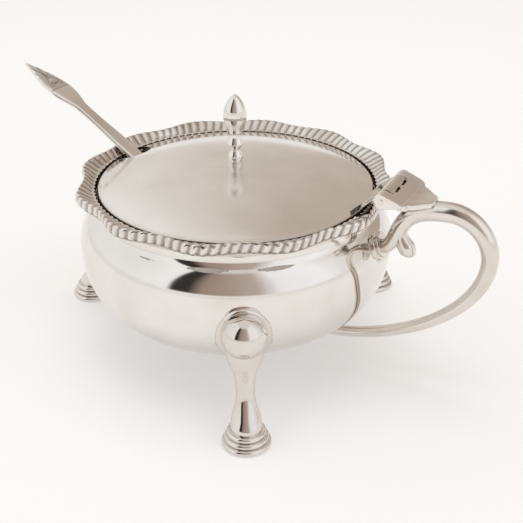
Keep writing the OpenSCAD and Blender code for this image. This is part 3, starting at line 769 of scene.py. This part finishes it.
# Legs. The ball is a little larger and higher than the CAD model's knee, and the flange is domed.
KNEE_R, KNEE_Z, FLANGE_R, FLANGE_H = 4.7, 22.5, 5.9, 7.2
SHANK_D, STANCE, PAD_R, PAD_H = 4.1, 42.6, 5.2, 3.6
KNEE_X = BELLY_R + 1.5
BALL_R, BALL_Z = KNEE_R + 0.2, KNEE_Z + 0.2
FLANGE_OUT, FLANGE_DOWN, FLANGE_TILT, DOMING, FLANGE_EDGE = 0.6, 1.9, radians(10), 2.2, -1.85
SHANK_H = KNEE_Z - PAD_H
SHANK_STEPS, SHANK_SIDES, PAD_STEPS, PAD_IN = 80, 56, 3, 0.55
# Shank: share of its height, share of the way from knee to foot, factors for depth and width
SHARES = [(0.778, 0.037, 1.2, 1.9), (0.688, 0.1, 1.1, 1.65), (0.598, 0.204, 1.07, 1.23),
          (0.497, 0.315, 1.07, 1.05), (0.392, 0.417, 0.96, 0.98), (0.312, 0.5, 0.98, 0.99),
          (0.233, 0.611, 1.1, 1.13), (0.165, 0.74, 1.33, 1.36), (0.1, 0.88, 1.55, 1.55),
          (0.045, 0.96, 1.62, 1.62), (-0.01, 1.0, 1.55, 1.58)]
SHANK = [(-(PAD_H + f * SHANK_H), KNEE_X, 1.2 * KNEE_R, 1.7 * KNEE_R) for f in (1, 0.884)]
SHANK += [(-(PAD_H + f * SHANK_H), KNEE_X + g * (STANCE - KNEE_X), d * SHANK_D, w * SHANK_D)
          for f, g, d, w in SHARES]
LEGS = (("leg_cast_front", "leg_front", -60), ("leg_cast_back", "leg_back", 60),
        ("leg_cast_left", "leg_left", 180))


def flange_place(p):
    """Turns a disc about Z into the oval flange, whose axis tilts down from the X axis."""
    x, y, z = p[2], p[0] * FLANGE_R, p[1] * FLANGE_H
    return (BELLY_R + FLANGE_OUT + x * cos(FLANGE_TILT) + z * sin(FLANGE_TILT), y,
            KNEE_Z - FLANGE_DOWN - x * sin(FLANGE_TILT) + z * cos(FLANGE_TILT))


def leg_shell():
    shell = Shell()
    ball = [(BALL_R * sin(pi * i / 48), BALL_Z - BALL_R * cos(pi * i / 48)) for i in range(49)]
    shell.lathe(ball, 72, lambda p: (KNEE_X + p[0], p[1], p[2]))
    rings = []
    z0, z1 = KNEE_Z, PAD_H - 0.01 * SHANK_H
    n = SHANK_SIDES
    for i in range(1, SHANK_STEPS + 1):
        z = z0 + (z1 - z0) * i / SHANK_STEPS
        x, depth, width = spline(SHANK, -z)
        rings.append([(x + depth / 2 * cos(2 * pi * k / n), width / 2 * sin(2 * pi * k / n), z)
                      for k in range(n)])
    shell.tube(rings)
    rim = [(sin(radians(4.5 * k)), DOMING * cos(radians(4.5 * k)) + FLANGE_EDGE)
           for k in range(20)]
    rim += [(1.0, FLANGE_EDGE), (1.0, -2.0), (1.0, -7.0), (0.0, -7.0)]
    shell.lathe(rim, 96, flange_place)
    step = PAD_H / PAD_STEPS
    pad = [(0, 0)]
    for i in range(PAD_STEPS):
        pad += arc((PAD_R - step / 2 - PAD_IN * i, step * (i + 0.5)), step / 2, -90, 90, 10)
    pad += [(0, PAD_H)]
    shell.lathe(pad, 96, lambda p: (STANCE + p[0], p[1], p[2]))
    shell.v = [clamp_to_bowl(p) for p in shell.v]
    return shell


s = leg_shell()
for name, node, angle in LEGS:
    ca, sa = cos(radians(angle)), sin(radians(angle))
    make(name, [(x * ca - y * sa, x * sa + y * ca, z) for x, y, z in s.v], s.f,
         "pot", SILVER_LEG, [node], sharp=50)

# Spoon. It lies on the border's crest, with its length measured from the pointed end.
TILT, SPOON_L, SPOON_OUT, TIP_BEND, REST_GAP = radians(29.6), 91.15, 35.5, 1.65, 0.25
STEM_W, STEM_T, STEM_SIDES, TIP_W, TIP_L = 3.5, 1.2, 64, 6.7, 18.5
SCOOP_L, SCOOP_W, SCOOP_D, SHEET = 17.0, 11.5, 3.0, 0.7 * STEM_T
STEM_END = SPOON_L - SCOOP_L - 4
TIP_STEPS, STEM_STEPS, NECK_STEPS, SCOOP_STEPS, SCOOP_SIDES = 120, 24, 8, 16, 72
# Strength of the painted shade between the relief's ribs and in its line across
SPOON_SHADE = 0.7
# Pointed end: shares of its width and of the stem's thickness, by the share of its length
TIP = [(0, 0.06, 0.4), (0.03, 0.13, 0.55), (0.1, 0.26, 0.65), (0.215, 0.475, 0.8),
       (0.35, 0.73, 0.95), (0.5, 0.94, 1.05), (0.64, 1.0, 1.15), (0.75, 0.95, 1.15),
       (0.865, 0.79, 1.1), (1.0, STEM_W / TIP_W, 1.0)]
# Share of the stem's width along it
STEM = [(TIP_L, 1.0), (24, 0.98), (33, 1.2), (40, 1.15), (52, 1.0), (STEM_END, 1.0)]
# Ribs that fan out from one place, and a line across; places are shares of the end's length
RIB_H, RIB_A, RIB_ROOT, LINE_D, LINE_AT, LINE_W = 0.2, 0.125, 0.62, 0.08, 0.625, 0.012


def spoon_lift():
    """Distance of the spoon's middle from the border's inner edge, square to the spoon."""
    w = lobe_r(NOTCH_A + SLANT / 2) - BORDER_IN
    points = [border_point(w, sec) for sec in range(0, 181, 5)]
    crest = max(-x * sin(TILT) + z * cos(TILT) for x, z in points)
    return crest + REST_GAP + STEM_T / 2


SPOON_R = BORDER_IN - spoon_lift() * sin(TILT)
SPOON_Z = LIP_Z + spoon_lift() * cos(TILT)


def spoon_place(p):
    """Lays a point of the spoon, (along, across, up), in the notch."""
    along_stem, y, z = p[0] - SPOON_OUT, -p[1], p[2]
    x = SPOON_R - along_stem * cos(TILT) - z * sin(TILT)
    ca, sa = cos(radians(NOTCH_A)), sin(radians(NOTCH_A))
    return (x * ca - y * sa, x * sa + y * ca,
            SPOON_Z - along_stem * sin(TILT) + z * cos(TILT))


def stem_ring(at, w, t):
    """Section of the stem, a squared oval."""
    out = []
    for k in range(STEM_SIDES):
        a = 2 * pi * (k + 0.5) / STEM_SIDES
        cx, cy = cos(a), sin(a)
        out.append((at, w / 2 * (abs(cx) ** 0.6) * (1 if cx > 0 else -1),
                    t / 2 * (abs(cy) ** 0.75) * (1 if cy > 0 else -1)))
    return out


def relief(t, v, half):
    """Height and shade of the ribs on the pointed end; v runs across from -1 to 1."""
    fade = unit((t - 0.06) / 0.1, (0.6 - t) / 0.04) * unit((0.88 - abs(v)) / 0.12)
    fan_angle = atan2(v * half, (RIB_ROOT - t) * TIP_L + 1.2)
    rib = 0.5 + 0.5 * cos(2 * pi * fan_angle / RIB_A)
    line = exp(-((t - LINE_AT) / LINE_W) ** 2) * unit((0.95 - abs(v)) / 0.1)
    return RIB_H * fade * rib - LINE_D * line, fade * (0.2 + 0.8 * (1 - rib) ** 2) + 0.8 * line


def scoop_ring(f, up):
    """Ring of the spoon's bowl at a share of its size."""
    out = []
    for k in range(SCOOP_SIDES):
        a = 2 * pi * k / SCOOP_SIDES
        out.append(spoon_place((SPOON_L - SCOOP_L / 2 + SCOOP_L / 2 * f * cos(a),
                                SCOOP_W / 2 * f * sin(a) * (1 + 0.12 * cos(a)),
                                up - SCOOP_D * (1 - f * f))))
    return out


def spoon_shell():
    rings, tarnish_shade_mask = [], []
    for i in range(TIP_STEPS + 1):
        t = i / TIP_STEPS
        w, h = spline(TIP, t)
        ring = []
        for x, y, z in stem_ring(t * TIP_L, w * TIP_W, h * STEM_T):
            up, shade = 0.0, 0.0
            if z > 0:
                up, shade = relief(t, 2 * y / (w * TIP_W), w * TIP_W / 2)
            ring.append((x, y, z + up - TIP_BEND * (1 - t) ** 1.5))
            tarnish_shade_mask.append(SPOON_SHADE * shade)
        rings.append(ring)
    for i in range(1, STEM_STEPS + 1):
        at = TIP_L + (STEM_END - TIP_L) * i / STEM_STEPS
        rings.append(stem_ring(at, STEM_W * spline(STEM, at)[0], STEM_T))
    for i in range(1, NECK_STEPS + 1):
        rings.append(stem_ring(STEM_END + 6 * i / NECK_STEPS,
                               STEM_W * (1 + 0.15 * i / NECK_STEPS), STEM_T))
    shell = Shell()
    shell.tube([[spoon_place(p) for p in ring] for ring in rings])
    n = SCOOP_STEPS
    rings = [scoop_ring(i / n, SHEET / 2) for i in range(1, n + 1)]
    rings += [scoop_ring(1.0 + 0.012 * sin(radians(45 * j)), SHEET / 2 - SHEET * j / 4)
              for j in range(1, 4)]
    rings += [scoop_ring(i / n, -SHEET / 2) for i in range(n, 0, -1)]
    shell.tube(rings)
    tarnish_shade_mask += [0.0] * (len(shell.v) - len(tarnish_shade_mask))
    return shell, tarnish_shade_mask


s, tarnish_shade_mask = spoon_shell()
make("spoon_silver", s.v, s.f, "spoon", SILVER_SPOON, ["spoon"], sharp=50,
     tarnish_shade_mask=tarnish_shade_mask)

# Glass liner, inside the ring that the lid rests on
SEAT_GAP, SEAT_H, SEAT_W, FIT = 0.3, 0.8, 1.2, 0.05
LINER_GAP, LINER_DOWN, GLASS_T, RIM_R = 0.5, 0.6, 2.0, 0.9
SEAT_LOW = dome(LID_R, LID_T) - SEAT_GAP - SEAT_H
SEAT_R = NECK_C[0] - sqrt((NECK_R + WALL) ** 2 - (SEAT_LOW - NECK_C[1]) ** 2) - FIT
LINER_R = SEAT_R - SEAT_W - LINER_GAP
LINER_TOP, LINER_FLOOR = SEAT_LOW - LINER_DOWN, BOTTOM_Z + WALL + FIT
LINER_WIDE = BELLY_Z - 1.1 * (BELLY_R - WALL - LINER_R)


def liner_shell():
    rim_z = LINER_TOP - RIM_R
    profile = squared(LINER_R, LINER_WIDE, LINER_FLOOR, 40)
    profile += [(LINER_R, rim_z)] + arc((LINER_R - RIM_R, rim_z), RIM_R, 0, 90, 8)[1:]
    profile += arc((LINER_R - GLASS_T + RIM_R, rim_z), RIM_R, 90, 180, 8)
    profile += squared(LINER_R - GLASS_T, LINER_WIDE, LINER_FLOOR + GLASS_T, 40)[::-1]
    shell = Shell()
    shell.lathe(profile, 160)
    return shell


s = liner_shell()
make("liner_glass", s.v, s.f, "pot", GLASS, ["glass_liner"], sharp=60)

# The other CAD pieces keep their shapes
for name in ("lid_seat_ring", "lid_hinge_leaf", "finial_nut", "hinge_pin"):
    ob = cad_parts[name]
    if not ob.material_slots:
        ob.data.materials.append(SILVER_CAST)
    for ms in ob.material_slots:
        ms.material = SILVER_CAST

# Floor, with its half width in metres
FLOOR = 3
me = bpy.data.meshes.new("floor")
me.from_pydata([(-FLOOR, -FLOOR, 0), (FLOOR, -FLOOR, 0), (FLOOR, FLOOR, 0), (-FLOOR, FLOOR, 0)],
               [], [(0, 1, 2, 3)])
floor = bpy.data.objects.new("floor", me)
scene.collection.objects.link(floor)
m, nt, b = new_material("floor_paper")
b.inputs["Base Color"].default_value = (0.64, 0.635, 0.63, 1)
b.inputs["Roughness"].default_value = 0.9
b.inputs["Emission Color"].default_value = (1.0, 0.99, 0.98, 1)
b.inputs["Emission Strength"].default_value = 0.34
me.materials.append(m)

# Room: walls, a pale skirt along the floor and a ceiling. RIGHT is the camera's right, and FRONT
# points from the pot to the camera.
VIEW_A = radians(28)
RIGHT = Vector((cos(VIEW_A), sin(VIEW_A), 0))
FRONT = Vector((sin(VIEW_A), -cos(VIEW_A), 0))
UP = Vector((0, 0, 1))
SKIRT, SKIRT_A = (0.9, 0.885, 0.87, 1), (3, 7)
CEILING, CEILING_A = (0.82, 0.79, 0.755, 1), (58, 70)
# Walls by direction in degrees: 0 is behind the camera, 90 is to the right
WALLS = ((-180, (0.64, 0.58, 0.53)), (-150, (0.86, 0.84, 0.82)), (-115, (0.94, 0.94, 0.93)),
         (-56, (1.0, 1.0, 1.0)), (-49, (0.97, 0.97, 0.97)), (-46, (0.035, 0.032, 0.03)),
         (-34, (0.04, 0.035, 0.032)), (-24, (0.36, 0.28, 0.24)), (-4, (0.48, 0.385, 0.335)),
         (14, (0.52, 0.45, 0.41)), (30, (0.98, 0.98, 1.0)), (65, (1.04, 1.05, 1.07)),
         (100, (0.80, 0.76, 0.725)), (128, (0.50, 0.415, 0.35)), (158, (0.53, 0.455, 0.395)),
         (180, (0.64, 0.58, 0.53)))

world = bpy.data.worlds.new("room") if scene.world is None else scene.world
scene.world = world
world.use_nodes = True
wt = world.node_tree
way_out = wt.nodes.new("ShaderNodeTexCoord").outputs["Generated"]


def along(axis):
    return calculate(wt, "ShaderNodeVectorMath", "DOT_PRODUCT", way_out, axis)["Value"]


def above(angles):
    """Share that grows from 0 to 1 between two angles above the horizon."""
    low, high = angles
    return remap(wt, along(UP), (sin(radians(low)), sin(radians(high))), smooth=True)


turn = calculate(wt, "ShaderNodeMath", "ARCTAN2", along(RIGHT), along(FRONT))["Value"]
walls = ramp(wt, remap(wt, turn, (-pi, pi)),
             [((angle + 180) / 360, colour) for angle, colour in WALLS])
room = mix(wt, above(CEILING_A), mix(wt, above(SKIRT_A), SKIRT, walls), CEILING)
background = wt.nodes["Background"]
wt.links.new(room, background.inputs["Color"])
background.inputs["Strength"].default_value = 1.0


def aim(ob, place, target):
    """Adds a lamp or camera that looks from a place at a target."""
    scene.collection.objects.link(ob)
    ob.location = place
    ob.rotation_euler = (target - place).to_track_quat("-Z", "Y").to_euler()


# Soft panel overhead, which doesn't show in the silver. It and the camera are placed in metres.
PANEL, PANEL_POWER = 0.5, 1.7
lamp = bpy.data.lights.new("panel_top", "AREA")
lamp.shape = "RECTANGLE"
lamp.size, lamp.size_y = PANEL, PANEL
lamp.energy = PANEL_POWER
panel = bpy.data.objects.new("panel_top", lamp)
middle = Vector((0, 0, 0.025))
aim(panel, middle + Vector((0, 0, 0.75)), middle)
panel.visible_glossy = False

# Camera
EYE_OUT, EYE_UP = 0.2012, 0.1285
cam = bpy.data.cameras.new("camera")
cam.lens = 66.57
cam.sensor_width = 36.0
cam.sensor_fit = "HORIZONTAL"
cam.clip_start = 0.01
camera = bpy.data.objects.new("camera", cam)
aim(camera, FRONT * EYE_OUT + Vector((0, 0, EYE_UP)), Vector((0.0056, 0.0018, 0.020)))
scene.camera = camera
scene.view_settings.view_transform = "Standard"
